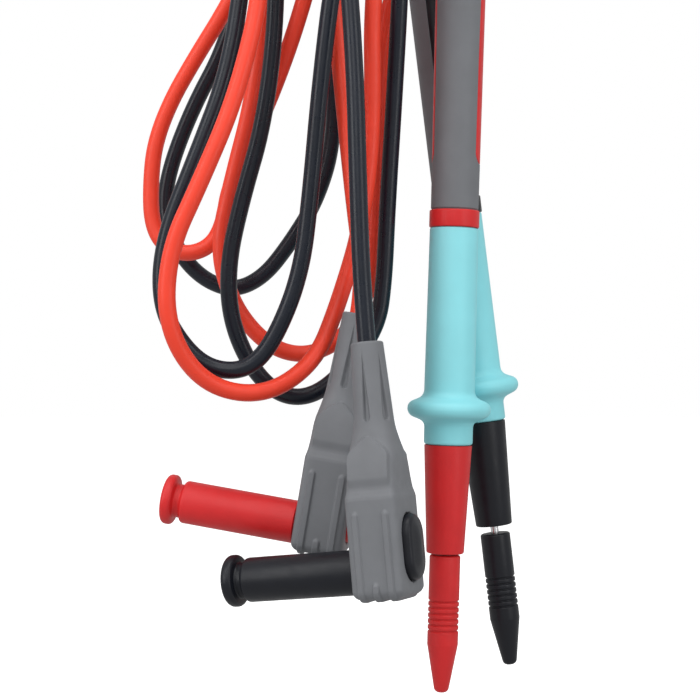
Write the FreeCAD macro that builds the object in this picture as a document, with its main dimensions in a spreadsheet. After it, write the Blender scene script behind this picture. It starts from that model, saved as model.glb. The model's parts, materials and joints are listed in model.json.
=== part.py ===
import FreeCAD, Part
import math
import os
import re
import Sketcher

# A pair of test leads, one red and one black, hung over a peg. Millimetres, +Z up.
# The origin is on the peg's axis, and the peg, which runs along Y, isn't part of the object.

SIZES = {
    # cable
    "cable_diameter": 4.0,
    "conductor_diameter": 1.5,
    # probe, with heights from the barrel's nose towards the cable
    "needle_diameter": 2.0,
    "needle_reach": 19.0,
    "needle_root": 12.0,
    "needle_point": 4.0,
    "barrel_length": 26.0,
    "barrel_nose_diameter": 9.0,
    "barrel_diameter": 11.5,
    "nose_chamfer": 0.4,
    "guard_length": 52.0,
    "guard_neck_diameter": 11.7,
    "guard_waist_diameter": 12.2,
    "flange_height": 8.5,
    "flange_thickness": 4.6,
    "flange_diameter": 20.0,
    "flange_rim": 0.8,
    "flange_round": 1.2,
    "flange_root": 8.4,
    "flange_fillet_low": 1.5,
    "flange_fillet_high": 3.0,
    "neck_round": 0.7,
    "ring_length": 4.2,
    "ring_diameter": 12.0,
    "grip_length": 70.0,
    "grip_low_diameter": 11.4,
    "grip_high_diameter": 12.2,
    "tube_diameter": 8.4,
    "tube_bore": 4.6,
    "stripe_width": 5.6,
    "stripe_diameter": 12.2,
    "stripe_margin": 11.0,
    "boot_length": 22.0,
    "boot_low_diameter": 10.4,
    "boot_high_diameter": 6.8,
    "boot_groove": 0.9,
    "boot_groove_diameter": 6.2,
    "boot_groove_start": 3.0,
    "boot_groove_pitch": 2.8,
    "crimp_diameter": 3.6,
    "crimp_length": 8.0,
    "crimp_floor": 2.0,
    "probe_bare_length": 3.0,
    # tip cap
    "cap_length": 33.0,
    "cap_diameter": 7.4,
    "cap_bore": 2.1,
    "cap_bore_depth": 20.5,
    "cap_collar": 10.8,
    "cap_rib_pitch": 1.4,
    "cap_rib_depth": 0.4,
    "cap_shoulder": 2.2,
    "cap_end_diameter": 3.0,
    "cap_round": 0.4,
    "seam": 0.3,
    # plug, with heights from its lower end towards the cable
    "plug_length": 55.4,
    "plug_width": 12.0,
    "plug_depth": 15.0,
    "plug_corner": 1.6,
    "bottom_bevel": 1.0,
    "bottom_height": 1.6,
    "block_height": 23.0,
    "shoulder_height": 31.0,
    "shoulder_width": 11.4,
    "shoulder_depth": 12.4,
    "shoulder_corner": 2.4,
    "relief_height": 39.0,
    "relief_low_diameter": 9.0,
    "relief_high_diameter": 7.2,
    "flute_width": 1.9,
    "flute_low": 40.0,
    "flute_high": 53.8,
    "flute_floor": 3.2,
    "arch_width": 9.4,
    "arch_depth": 13.8,
    "arch_low": 23.4,
    "arch_corner": 30.0,
    "arch_bend": 32.6,
    "arch_bend_width": 5.6,
    "arch_top": 34.7,
    "rib_width": 1.4,
    "rib_rise": 0.5,
    "rib_spacing": 6.9,
    "rib_height": 19.5,
    "short_rib_height": 4.0,
    "shroud_height": 5.8,
    "shroud_length": 26.6,
    "shroud_diameter": 8.1,
    "shroud_bore": 6.2,
    "core_diameter": 9.2,
    "core_rear": 3.0,
    "socket_floor": 2.0,
    "pin_diameter": 4.0,
    "pin_root_diameter": 3.2,
    "pin_waist_diameter": 3.4,
    "pin_tip_chamfer": 0.8,
    "pin_recess": 1.5,
    "spring_diameter": 4.3,
    "spring_start": 3.0,
    "spring_length": 14.0,
    "terminal_side": 3.2,
    "terminal_top": 4.5,
    "bare_length": 7.0,
    "button_low": 3.3,
    "button_height": 14.4,
    "button_width": 9.4,
    "button_rise": 2.4,
    "button_sink": 1.6,
    "button_dome": 2.0,
    "cover_diameter": 9.9,
    "cover_bore": 8.2,
    "cover_length": 27.0,
    "cover_chamfer": 0.6,
    "cover_neck_diameter": 7.8,
    "cover_neck_length": 1.8,
    "cover_flange_diameter": 11.6,
    "cover_flange_length": 2.6,
    "cover_round": 0.9,
}

# Where each lead's probe and plug hang: the middle of the probe's nose or the plug's lower end, then turns in
# degrees. The spin is about the piece's own long axis, a positive lean moves its upper end to the right, and a
# negative nod moves its upper end to the back.
LEADS = {
    "red": {
        "nose": (26.8, 8.0, -195.7),
        "probe_spin": -10.0,
        "probe_lean": 1.6,
        "cap_gap": 0.4,
        "heel": (-3.1, -9.0, -193.3),
        "plug_spin": -8.0,
        "plug_lean": 9.4,
        "plug_nod": 0.0,
    },
    "black": {
        "nose": (40.0, 24.0, -190.7),
        "probe_spin": 95.0,
        "probe_lean": -6.6,
        "cap_gap": 2.0,
        "heel": (12.5, -31.8, -200.3),
        "plug_spin": -22.0,
        "plug_lean": -5.0,
        "plug_nod": -5.0,
    },
}

CAP_RIBS = 6
BOOT_GROOVES = 6
FLUTES = 6
# The share of its width that each cut corner of a regular octagon takes.
OCTAGON = 0.29

doc = FreeCAD.newDocument("test_leads")
sheet = doc.addObject("Spreadsheet::Sheet", "Sizes")
for row, (alias, number) in enumerate(SIZES.items(), 1):
    sheet.set(f"A{row}", alias)
    sheet.set(f"B{row}", str(number))
    sheet.setAlias(f"B{row}", alias)
doc.recompute()


def bound(formula):
    """The formula as another object writes it, with each size looked up in the sheet."""
    return re.sub(r"([a-z][a-z_]+)", r"Sizes.\1", formula)


def worth(formula):
    """A formula's value in millimetres."""
    value = sheet.evalExpression(formula)
    return float(getattr(value, "Value", value))


def plane(body, role):
    """One of a body's own origin planes."""
    return next(f for f in body.Origin.OriginFeatures if f.Role == role)


def new_sketch(body, name, role, offset=None):
    """An empty sketch on an origin plane, moved out along its normal by a formula."""
    sketch = body.newObject("Sketcher::SketchObject", name)
    sketch.AttachmentSupport = [(plane(body, role), "")]
    sketch.MapMode = "FlatFace"
    if offset:
        sketch.setExpression("AttachmentOffset.Base.z", bound(offset))
    return sketch


def hold_point(sketch, line, across, up):
    """Fix the start of a line at a place given by two formulas."""
    for kind, axis, formula in (("DistanceX", -2, across), ("DistanceY", -1, up)):
        if formula == "0":
            sketch.addConstraint(Sketcher.Constraint("PointOnObject", line, 1, axis))
        else:
            index = sketch.addConstraint(Sketcher.Constraint(kind, -1, 1, line, 1, worth(formula)))
            sketch.setExpression(f"Constraints[{index}]", bound(formula))


def outline(body, name, role, corners, offset=None):
    """A sketch of straight lines through corners, each given as (across, up) formulas."""
    sketch = new_sketch(body, name, role, offset)
    places = [FreeCAD.Vector(worth(across), worth(up), 0) for across, up in corners]
    for index, place in enumerate(places):
        sketch.addGeometry(Part.LineSegment(place, places[(index + 1) % len(places)]), False)
    for index, (across, up) in enumerate(corners):
        sketch.addConstraint(Sketcher.Constraint("Coincident", index, 2, (index + 1) % len(places), 1))
        hold_point(sketch, index, across, up)
    return sketch


def circle(body, name, role, radius, up="0", offset=None):
    """A sketch of one circle centred on the sketch's vertical axis."""
    sketch = new_sketch(body, name, role, offset)
    centre = FreeCAD.Vector(0, worth(up), 0)
    sketch.addGeometry(Part.Circle(centre, FreeCAD.Vector(0, 0, 1), worth(radius)), False)
    sketch.addConstraint(Sketcher.Constraint("PointOnObject", 0, 3, -2))
    if up == "0":
        sketch.addConstraint(Sketcher.Constraint("PointOnObject", 0, 3, -1))
    else:
        index = sketch.addConstraint(Sketcher.Constraint("DistanceY", -1, 1, 0, 3, worth(up)))
        sketch.setExpression(f"Constraints[{index}]", bound(up))
    index = sketch.addConstraint(Sketcher.Constraint("Radius", 0, worth(radius)))
    sketch.setExpression(f"Constraints[{index}]", bound(radius))
    return sketch


def slot(body, name, role, half_width, low, high, offset=None):
    """A round-ended slot standing between two heights on the sketch's vertical axis."""
    sketch = new_sketch(body, name, role, offset)
    side = worth(half_width)
    ends = ((worth(high) - side, 0, math.pi), (worth(low) + side, math.pi, 2 * math.pi))
    for height, first, last in ends:
        arc = Part.Circle(FreeCAD.Vector(0, height, 0), FreeCAD.Vector(0, 0, 1), side)
        sketch.addGeometry(Part.ArcOfCircle(arc, first, last), False)
    top, bottom = ends[0][0], ends[1][0]
    for x, start, finish in ((-side, top, bottom), (side, bottom, top)):
        line = Part.LineSegment(FreeCAD.Vector(x, start, 0), FreeCAD.Vector(x, finish, 0))
        sketch.addGeometry(line, False)
    joins = ((0, 2, 2, 1), (2, 2, 1, 1), (1, 2, 3, 1), (3, 2, 0, 1))
    for one, one_end, other, other_end in joins:
        sketch.addConstraint(Sketcher.Constraint("Tangent", one, one_end, other, other_end))
    sketch.addConstraint(Sketcher.Constraint("PointOnObject", 0, 3, -2))
    sketch.addConstraint(Sketcher.Constraint("PointOnObject", 1, 3, -2))
    sizes = (("Radius", 0, None, half_width), ("DistanceY", 0, 3, f"{high} - {half_width}"))
    sizes += (("DistanceY", 1, 3, f"{low} + {half_width}"),)
    for kind, arc, point, formula in sizes:
        if point:
            constraint = Sketcher.Constraint(kind, -1, 1, arc, point, worth(formula))
        else:
            constraint = Sketcher.Constraint(kind, arc, worth(formula))
        index = sketch.addConstraint(constraint)
        sketch.setExpression(f"Constraints[{index}]", bound(formula))
    return sketch


def box_corners(low_across, high_across, low_up, high_up):
    """The four corners of a rectangle, as formulas."""
    return [(low_across, low_up), (high_across, low_up), (high_across, high_up), (low_across, high_up)]


def chamfered(half_across, half_up, corner):
    """An eight-cornered outline about the origin: a rectangle with its corners cut off."""
    corners = []
    for sign_x, sign_y, across_first in ((1, -1, True), (1, 1, False), (-1, 1, True), (-1, -1, False)):
        along = (f"{sign_x} * ({half_across} - {corner})", f"{sign_y} * ({half_up})")
        beside = (f"{sign_x} * ({half_across})", f"{sign_y} * ({half_up} - {corner})")
        corners += [along, beside] if across_first else [beside, along]
    return corners


def new_body(name, placement):
    """A body named for its sub-part, standing where the sub-part goes."""
    body = doc.addObject("PartDesign::Body", name)
    body.Label = name
    body.Placement = placement
    return body


def revolve(body, kind, profile):
    """Turn a profile on XZ about the body's Z axis, to add (Revolution) or to cut (Groove)."""
    turn = body.newObject(f"PartDesign::{kind}", profile.Name + kind)
    turn.Profile = profile
    turn.ReferenceAxis = (profile, ["V_Axis"])
    turn.Angle = 360
    body.Tip = turn
    doc.recompute()
    return turn


def extrude(body, kind, profile, length=None, midplane=False, flip=False):
    """Pad or pocket a profile by a formula's length, or right through with no length."""
    feature = body.newObject(f"PartDesign::{kind}", profile.Name + kind)
    feature.Profile = profile
    feature.Midplane = midplane
    feature.Reversed = flip
    if length:
        feature.setExpression("Length", bound(length))
    else:
        feature.Type = "ThroughAll"
    body.Tip = feature
    doc.recompute()
    return feature


def cut_round(body, name, radius, low, high):
    """Bore a round hole about the body's Z axis between two heights."""
    before = body.Shape.Volume
    revolve(body, "Groove", outline(body, name, "XZ_Plane", box_corners("0", radius, low, high)))
    if not body.Shape.Volume < before:
        raise RuntimeError(f"{body.Label}: {name} cuts nothing")


def soften(body, radius, rims):
    """Round the circular edges found at the given (radius, height) places."""
    names = []
    for number, edge in enumerate(body.Tip.Shape.Edges, 1):
        if not isinstance(edge.Curve, Part.Circle):
            continue
        for rim_radius, height in rims:
            same_radius = abs(edge.Curve.Radius - worth(rim_radius)) < 0.01
            if same_radius and abs(edge.Curve.Center.z - worth(height)) < 0.01:
                names.append(f"Edge{number}")
    if len(names) < len(rims):
        raise RuntimeError(f"{body.Label}: {len(names)} rims found for {len(rims)}")
    base = body.Tip
    fillet = body.newObject("PartDesign::Fillet", "Soft" + str(len(body.Group)))
    fillet.Base = (base, names)
    fillet.setExpression("Radius", bound(radius))
    body.Tip = fillet
    doc.recompute()


# Heights along the probe, from the barrel's nose.
GUARD_TOP = "barrel_length + guard_length"
RING_TOP = f"{GUARD_TOP} + ring_length"
GRIP_TOP = f"{RING_TOP} + grip_length"
BOOT_TOP = f"{GRIP_TOP} + boot_length"
FLANGE = "barrel_length + flange_height"
STRIPE_LOW = f"{RING_TOP} + stripe_margin"
STRIPE_HIGH = f"{GRIP_TOP} - stripe_margin / 2"
CABLE_LOW = "needle_root + crimp_length"


def make_tip_cap(name, place, gap):
    """A push-on cap over the needle, ribbed for the fingers; its mouth is a gap below the nose."""
    body = new_body(name, place)
    top = f"-{gap}"
    rib_top = f"{top} - cap_collar"
    corners = [("0", top), ("cap_diameter / 2", top)]
    for rib in range(CAP_RIBS):
        high = f"{rib_top} - {rib} * cap_rib_pitch"
        low = f"{high} - cap_rib_pitch / 2"
        corners += [("cap_diameter / 2", high), ("cap_diameter / 2 - cap_rib_depth", high)]
        corners += [("cap_diameter / 2 - cap_rib_depth", low), ("cap_diameter / 2", low)]
    shoulder = f"{rib_top} - {CAP_RIBS} * cap_rib_pitch - cap_shoulder"
    corners += [("cap_diameter / 2", shoulder), ("cap_end_diameter / 2", f"{top} - cap_length")]
    corners += [("0", f"{top} - cap_length")]
    revolve(body, "Revolution", outline(body, "Cap", "XZ_Plane", corners))
    cut_round(body, "Bore", "cap_bore / 2", f"{top} - cap_bore_depth", top)
    soften(body, "cap_round", [("cap_diameter / 2", top), ("cap_end_diameter / 2", f"{top} - cap_length")])
    return body


def make_needle(name, place):
    """The steel needle: a plain shaft held in the barrel, with a pointed end."""
    body = new_body(name, place)
    corners = [("0", "-needle_reach"), ("needle_diameter / 8", "-needle_reach")]
    corners += [("needle_diameter / 2", "-needle_reach + needle_point")]
    corners += [("needle_diameter / 2", "needle_root"), ("0", "needle_root")]
    revolve(body, "Revolution", outline(body, "Shaft", "XZ_Plane", corners))
    return body


def make_crimp(name, place):
    """The brass sleeve that joins the needle's root to the bared conductor."""
    body = new_body(name, place)
    sleeve = box_corners("0", "crimp_diameter / 2", "needle_root", CABLE_LOW)
    revolve(body, "Revolution", outline(body, "Sleeve", "XZ_Plane", sleeve))
    cut_round(body, "Socket", "conductor_diameter / 2", "needle_root + crimp_floor", CABLE_LOW)
    return body


def make_probe_core(name, place):
    """The rigid moulding: barrel, inner tube, ring and the two stripes that show through the grip."""
    body = new_body(name, place)
    stripe = slot(body, "Stripe", "YZ_Plane", "stripe_width / 2", STRIPE_LOW, STRIPE_HIGH)
    extrude(body, "Pad", stripe, "stripe_diameter", midplane=True)
    outside = box_corners("stripe_diameter / 2", "stripe_diameter", "0", GRIP_TOP)
    revolve(body, "Groove", outline(body, "Round", "XZ_Plane", outside))
    corners = [("0", "0"), ("barrel_nose_diameter / 2 - nose_chamfer", "0")]
    corners += [("barrel_nose_diameter / 2", "nose_chamfer"), ("barrel_diameter / 2", "barrel_length")]
    corners += [("tube_diameter / 2", "barrel_length"), ("tube_diameter / 2", GUARD_TOP)]
    corners += [("ring_diameter / 2", GUARD_TOP), ("ring_diameter / 2", RING_TOP)]
    corners += [("tube_diameter / 2", RING_TOP), ("tube_diameter / 2", GRIP_TOP), ("0", GRIP_TOP)]
    revolve(body, "Revolution", outline(body, "Tube", "XZ_Plane", corners))
    cut_round(body, "NeedleHole", "needle_diameter / 2", "0", "needle_root")
    cut_round(body, "CrimpHole", "crimp_diameter / 2", "needle_root", CABLE_LOW)
    cut_round(body, "CableHole", "tube_bore / 2", CABLE_LOW, GRIP_TOP)
    return body


def make_guard(name, place):
    """The finger guard: a long soft sleeve with a round flange near its lower end."""
    body = new_body(name, place)
    half = "flange_thickness / 2"
    corners = [("tube_diameter / 2", "barrel_length"), ("guard_neck_diameter / 2", "barrel_length")]
    low, high = f"{FLANGE} - {half}", f"{FLANGE} + {half}"
    low_rim = ("flange_diameter / 2", f"{low} + flange_rim")
    high_rim = ("flange_diameter / 2", f"{high} - flange_rim")
    corners += [("guard_neck_diameter / 2", f"{low} - flange_fillet_low"), ("flange_root", low), low_rim]
    corners += [high_rim, ("flange_root", high), ("guard_waist_diameter / 2", f"{high} + flange_fillet_high")]
    corners += [("barrel_diameter / 2", GUARD_TOP), ("tube_diameter / 2", GUARD_TOP)]
    revolve(body, "Revolution", outline(body, "Sleeve", "XZ_Plane", corners))
    soften(body, "neck_round", [("guard_neck_diameter / 2", "barrel_length")])
    soften(body, "flange_round", [low_rim])
    soften(body, "flange_round", [high_rim])
    return body


def make_grip(name, place):
    """The rubber grip over the tube, with two windows that the stripes fill."""
    body = new_body(name, place)
    corners = [("tube_diameter / 2", RING_TOP), ("grip_low_diameter / 2", RING_TOP)]
    corners += [("grip_high_diameter / 2", GRIP_TOP), ("tube_diameter / 2", GRIP_TOP)]
    revolve(body, "Revolution", outline(body, "Sleeve", "XZ_Plane", corners))
    window = slot(body, "Window", "YZ_Plane", "stripe_width / 2", STRIPE_LOW, STRIPE_HIGH)
    extrude(body, "Pocket", window, midplane=True)
    return body


def make_boot(name, place):
    """The bend relief where the cable enters, grooved to flex."""
    body = new_body(name, place)
    corners = [("cable_diameter / 2", GRIP_TOP), ("boot_low_diameter / 2", GRIP_TOP)]
    corners += [("boot_high_diameter / 2", BOOT_TOP), ("cable_diameter / 2", BOOT_TOP)]
    revolve(body, "Revolution", outline(body, "Taper", "XZ_Plane", corners))
    for groove in range(BOOT_GROOVES):
        low = f"{GRIP_TOP} + boot_groove_start + {groove} * boot_groove_pitch"
        ring = box_corners("boot_groove_diameter / 2", "boot_low_diameter", low, f"{low} + boot_groove")
        revolve(body, "Groove", outline(body, f"Flex{groove}", "XZ_Plane", ring))
    return body


def make_rod(name, place, radius, low, high):
    """A plain round length, such as bared conductor or the cable inside a piece."""
    body = new_body(name, place)
    revolve(body, "Revolution", outline(body, "Rod", "XZ_Plane", box_corners("0", radius, low, high)))
    return body


# Distances along the shroud's axis, from the plug's middle.
SHROUD_END = "plug_width / 2 + shroud_length"
SOCKET_FLOOR = "plug_width / 2 + socket_floor"
SPRING_LOW = f"{SOCKET_FLOOR} + spring_start"
SPRING_HIGH = f"{SPRING_LOW} + spring_length"
COVER_LOW = "plug_width / 2 + seam"
COVER_STEP = f"{COVER_LOW} + cover_length"
NECK_END = f"{COVER_STEP} + cover_neck_length"
COVER_END = f"{NECK_END} + cover_flange_length"
BARE_TOP = "shroud_height + bare_length"
BUTTON_HIGH = "button_low + button_height"
BUTTON_FLOOR = "plug_width / 2 - button_sink"


def make_plug_body(name, place):
    """The overmould: a block around the core, a shoulder and a tapered, fluted bend relief."""
    body = new_body(name, place)
    low, high = "relief_low_diameter", "relief_high_diameter"
    levels = [
        ("plug_width / 2 - bottom_bevel", "plug_depth / 2 - bottom_bevel", "plug_corner", "0"),
        ("plug_width / 2", "plug_depth / 2", "plug_corner", "bottom_height"),
        ("plug_width / 2", "plug_depth / 2", "plug_corner", "block_height"),
        ("shoulder_width / 2", "shoulder_depth / 2", "shoulder_corner", "shoulder_height"),
        (f"{low} / 2", f"{low} / 2", f"{low} * {OCTAGON}", "relief_height"),
        (f"{high} / 2", f"{high} / 2", f"{high} * {OCTAGON}", "plug_length"),
    ]
    sections = []
    for number, (half_across, half_up, corner, height) in enumerate(levels):
        corners = chamfered(half_across, half_up, corner)
        sections.append(outline(body, f"Level{number}", "XY_Plane", corners, height))
    loft = body.newObject("PartDesign::AdditiveLoft", "Shell")
    loft.Profile = sections[0]
    loft.Sections = sections[1:]
    loft.Ruled = True
    body.Tip = loft
    doc.recompute()
    add_arches_and_ribs(body)
    add_flutes(body)
    cut_round(body, "CableHole", "cable_diameter / 2", "shroud_height", "plug_length")
    core_hole = circle(body, "CoreHole", "YZ_Plane", "core_diameter / 2", "shroud_height", "core_rear")
    extrude(body, "Pocket", core_hole)
    seat = slot(body, "Seat", "YZ_Plane", "button_width / 2", "button_low", BUTTON_HIGH, BUTTON_FLOOR)
    extrude(body, "Pocket", seat, flip=True)
    return body


def add_arches_and_ribs(body):
    """Raise a pointed arch on the shoulder and the ribs on the block, front and back alike."""
    side, bend_side = "arch_width / 2", "arch_bend_width / 2"
    arch = [(f"-{side}", "arch_low"), (side, "arch_low"), (side, "arch_corner"), (bend_side, "arch_bend")]
    arch += [("0", "arch_top"), (f"-{bend_side}", "arch_bend"), (f"-{side}", "arch_corner")]
    extrude(body, "Pad", outline(body, "Arch", "XZ_Plane", arch), "arch_depth", midplane=True)
    ribs = (("Left", "-rib_spacing / 2", "rib_height"), ("Middle", "0", "short_rib_height"))
    ribs += (("Right", "rib_spacing / 2", "rib_height"),)
    for name, centre, top in ribs:
        corners = box_corners(f"{centre} - rib_width / 2", f"{centre} + rib_width / 2", "-rib_rise", top)
        rib = outline(body, name + "Rib", "XZ_Plane", corners)
        extrude(body, "Pad", rib, "plug_depth + 2 * rib_rise", midplane=True)


def add_flutes(body):
    """Sink the long flutes around the bend relief."""
    before = body.Shape.Volume
    flute = slot(body, "Flute", "XZ_Plane", "flute_width / 2", "flute_low", "flute_high", "flute_floor")
    cut = extrude(body, "Pocket", flute, flip=True)
    pattern = body.newObject("PartDesign::PolarPattern", "Flutes")
    pattern.Originals = [cut]
    pattern.Axis = (plane(body, "Z_Axis"), [""])
    pattern.Angle = 360
    pattern.Occurrences = FLUTES
    body.Tip = pattern
    doc.recompute()
    if not body.Shape.Volume < before:
        raise RuntimeError(f"{body.Label}: the flutes cut nothing")


def make_plug_core(name, place):
    """The rigid moulding: a round block inside the overmould and the shroud around the pin."""
    body = new_body(name, place)
    core, shroud, face = "core_diameter / 2", "shroud_diameter / 2", "plug_width / 2"
    corners = [("0", "-core_rear"), (core, "-core_rear"), (core, face)]
    corners += [(shroud, face), (shroud, SHROUD_END), ("0", SHROUD_END)]
    revolve(body, "Revolution", outline(body, "Shroud", "XZ_Plane", corners))
    cut_round(body, "Socket", "shroud_bore / 2", SOCKET_FLOOR, SHROUD_END)
    cut_round(body, "PinHole", "pin_root_diameter / 2", "terminal_side / 2", SOCKET_FLOOR)
    half = "terminal_side / 2"
    well = outline(body, "Well", "YZ_Plane", box_corners(f"-{half}", half, f"-{half}", half), f"-{half}")
    extrude(body, "Pocket", well, flip=True)
    return body


def make_pin(name, place):
    """The plug's pin, with a root in the core and a waist for its spring."""
    body = new_body(name, place)
    root, thick, thin = "pin_root_diameter / 2", "pin_diameter / 2", "pin_waist_diameter / 2"
    tip = f"{SHROUD_END} - pin_recess"
    corners = [("0", "terminal_side / 2"), (root, "terminal_side / 2"), (root, SOCKET_FLOOR)]
    corners += [(thick, SOCKET_FLOOR), (thick, SPRING_LOW), (thin, SPRING_LOW), (thin, SPRING_HIGH)]
    corners += [(thick, SPRING_HIGH), (thick, f"{tip} - pin_tip_chamfer")]
    corners += [(f"{thick} - pin_tip_chamfer", tip), ("0", tip)]
    revolve(body, "Revolution", outline(body, "Pin", "XZ_Plane", corners))
    return body


def make_spring(name, place):
    """The barrel-shaped contact spring around the pin's waist."""
    body = new_body(name, place)
    inside, outside = "pin_waist_diameter / 2", "pin_diameter / 2"
    corners = [(inside, SPRING_LOW), (outside, SPRING_LOW)]
    corners += [("spring_diameter / 2", f"{SPRING_LOW} + spring_length / 2")]
    corners += [(outside, SPRING_HIGH), (inside, SPRING_HIGH)]
    revolve(body, "Revolution", outline(body, "Barrel", "XZ_Plane", corners))
    return body


def make_terminal(name, place):
    """The brass block behind the pin, bored for the conductor."""
    body = new_body(name, place)
    half = "terminal_side / 2"
    square = box_corners(f"-{half}", half, f"-{half}", half)
    block = outline(body, "Block", "XY_Plane", square, f"shroud_height - {half}")
    extrude(body, "Pad", block, f"{half} + terminal_top")
    cut_round(body, "Socket", "conductor_diameter / 2", "shroud_height", "shroud_height + terminal_top")
    return body


def make_button(name, place):
    """The domed cap that closes the back of the plug."""
    body = new_body(name, place)
    seat = slot(body, "Oval", "YZ_Plane", "button_width / 2", "button_low", BUTTON_HIGH, BUTTON_FLOOR)
    extrude(body, "Pad", seat, "button_sink + button_rise")
    faces = body.Tip.Shape.Faces
    outer = max(range(len(faces)), key=lambda index: faces[index].CenterOfMass.x)
    base = body.Tip
    fillet = body.newObject("PartDesign::Fillet", "Dome")
    fillet.Base = (base, [f"Face{outer + 1}"])
    fillet.setExpression("Radius", bound("button_dome"))
    body.Tip = fillet
    doc.recompute()
    return body


def make_cover(name, place):
    """The pull-off cover over the shroud, with a neck and a flange to grip it by."""
    body = new_body(name, place)
    wall, neck, flange = "cover_diameter / 2", "cover_neck_diameter / 2", "cover_flange_diameter / 2"
    corners = [("0", COVER_LOW), (wall, COVER_LOW), (wall, f"{COVER_STEP} - cover_chamfer")]
    corners += [(f"{wall} - cover_chamfer", COVER_STEP), (neck, COVER_STEP), (neck, NECK_END)]
    corners += [(flange, NECK_END), (flange, COVER_END), ("0", COVER_END)]
    revolve(body, "Revolution", outline(body, "Cover", "XZ_Plane", corners))
    cut_round(body, "Bore", "cover_bore / 2", COVER_LOW, f"{SHROUD_END} + seam")
    soften(body, "cover_round", [(flange, NECK_END), (flange, COVER_END)])
    return body


# Each lead's route from the plug to the probe, hand-laid: three loops hang down and four turns cross the peg.
PEG_TURN = (-8.0, 15.0)


def bend(across, up, radius, first, last, depth_in, depth_out):
    """Five points around a round bend seen from the front, from one angle to another, moving in depth."""
    step = (last - first) / 4
    reach = radius / math.cos(math.radians(step / 2))
    points = []
    for index in range(5):
        angle = math.radians(first + step * index)
        depth = depth_in + (depth_out - depth_in) * index / 4
        points.append((across + reach * math.cos(angle), depth, up + reach * math.sin(angle)))
    return points


def over_peg(across, depth):
    """A turn over the peg, from its left to its right."""
    up, radius = PEG_TURN
    return bend(across, up, radius, 182, -2, depth, depth)


ROUTES = {
    "red": [
        (7.3, -9, -130.4), (5, -9.2, -114), (1.8, -8, -82), (-1, -5.5, -51), (-9, -3, -27),
        *over_peg(3, -2), (14.4, -0.2, -30), (9, 0, -62), (9.5, 1, -94), (7, 1, -117), (1.2, -2, -136.5),
        (-4.2, -7, -150.2), (-15.9, -12, -157.8), (-29.2, -17, -154.8), (-36.9, -22, -142),
        (-36.2, -22, -125), (-29, -22, -109.5), (-21, -20.5, -90), (-15.2, -17, -64), (-16, -14, -32),
        *over_peg(4, -12), (24, -7.5, -28), (18.5, 4.5, -47), (11.2, 11, -72), (10.6, 13, -98),
        (9.8, 13, -120), (8.6, 13, -133), (3.2, 13, -143.5), (-4.5, 13, -148), (-12, 12.7, -147.8),
        (-19, 12, -143.2), (-25, 11, -134.5), (-28, 10, -122), (-24.5, 10, -106), (-19.5, 10, -87),
        (-16, 9, -62), (-16.5, 8, -34), *over_peg(-1, 8), (9, 9, -28), (-3.5, 12, -49), (-9, 14.5, -68),
        (-15, 16.5, -84), (-21, 18, -97), (-26, 19.5, -107), *bend(-36.3, -114.4, 8.5, -10, -175, 20, 22),
        (-45.5, 21.5, -106), (-44.5, 21, -96), (-40.5, 20.5, -85.5), (-34, 19.5, -74.5), (-26.5, 18, -63),
        (-19.5, 15.5, -50), (-16.5, 14, -30), (-15, 14, -8), (-6, 13, 7), (9, 12, 12), (24, 10, 7),
        (32.3, 8, -7),
    ],
    "black": [
        (6.6, -26.3, -133), (5.8, -25.6, -112), (5, -23.8, -82), (2.5, -21, -51), (-6.5, -18.5, -27),
        *over_peg(3, -17), (14, -16, -30), (1, -14.5, -57), (-2.5, -13, -84), (-5, -12, -112),
        (-7.2, -12, -130), (-13.5, -12, -145.5), (-19.5, -12, -151.7), (-27.5, -12, -151.5),
        (-33.8, -12, -146.5), (-39.3, -12, -137), (-38.6, -12, -122), (-31, -12, -103), (-23.5, -11, -83),
        (-20, -9, -57), (-18, -8, -32), *over_peg(1, -7), (16.6, -5, -32), (16, 2, -60), (14.5, 6, -88),
        (13, 7, -112), (12.2, 7, -130.5), (10.6, 6.5, -141.5), (3.5, 5.5, -151.3), (-4.4, 4.6, -158),
        (-12.2, 3.3, -158.2), (-19.3, 2, -151.5), (-24.2, 1, -140), (-24.8, 0, -127), (-21.5, 0, -112),
        (-16, 0, -93), (-13, 0, -66), (-14, 1.5, -33), *over_peg(0, 3), (13, 7, -30), (4, 14, -50),
        (0, 22, -73), (0, 27, -95), (-4.5, 28.5, -109.5), (-11.5, 29.5, -120.5), (-18, 30, -128.6),
        (-25.5, 30, -132), (-33, 30, -129.2), (-39, 30, -123), (-43, 30, -114), (-42.5, 30, -103),
        (-36, 29, -86), (-27, 27, -70), (-22, 23, -50), (-18, 20.5, -28), (-16, 20, -9), (-10, 22, 4),
        (0.5, 24, 10.3), (12, 24, 6), (18.7, 24, -6),
    ],
}


def rounded_path(points):
    """Straight runs joined by tangent arcs, each as large as its two runs allow, and the arcs' radii."""
    edges, radii, here = [], [], points[0]
    for before, corner, after in zip(points, points[1:], points[2:]):
        back, ahead = before - corner, after - corner
        turn = math.pi - back.getAngle(ahead)
        reach = 0.45 * min(back.Length, ahead.Length)
        radii.append(reach / math.tan(turn / 2))
        start = corner + back.normalize() * reach
        end = corner + ahead.normalize() * reach
        inward = (back + ahead).normalize()
        middle = corner + inward * (radii[-1] / math.cos(turn / 2) - radii[-1])
        edges.append(Part.LineSegment(here, start).toShape())
        edges.append(Part.Arc(start, middle, end).toShape())
        here = end
    edges.append(Part.LineSegment(here, points[-1]).toShape())
    return Part.Wire(edges), radii


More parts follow.
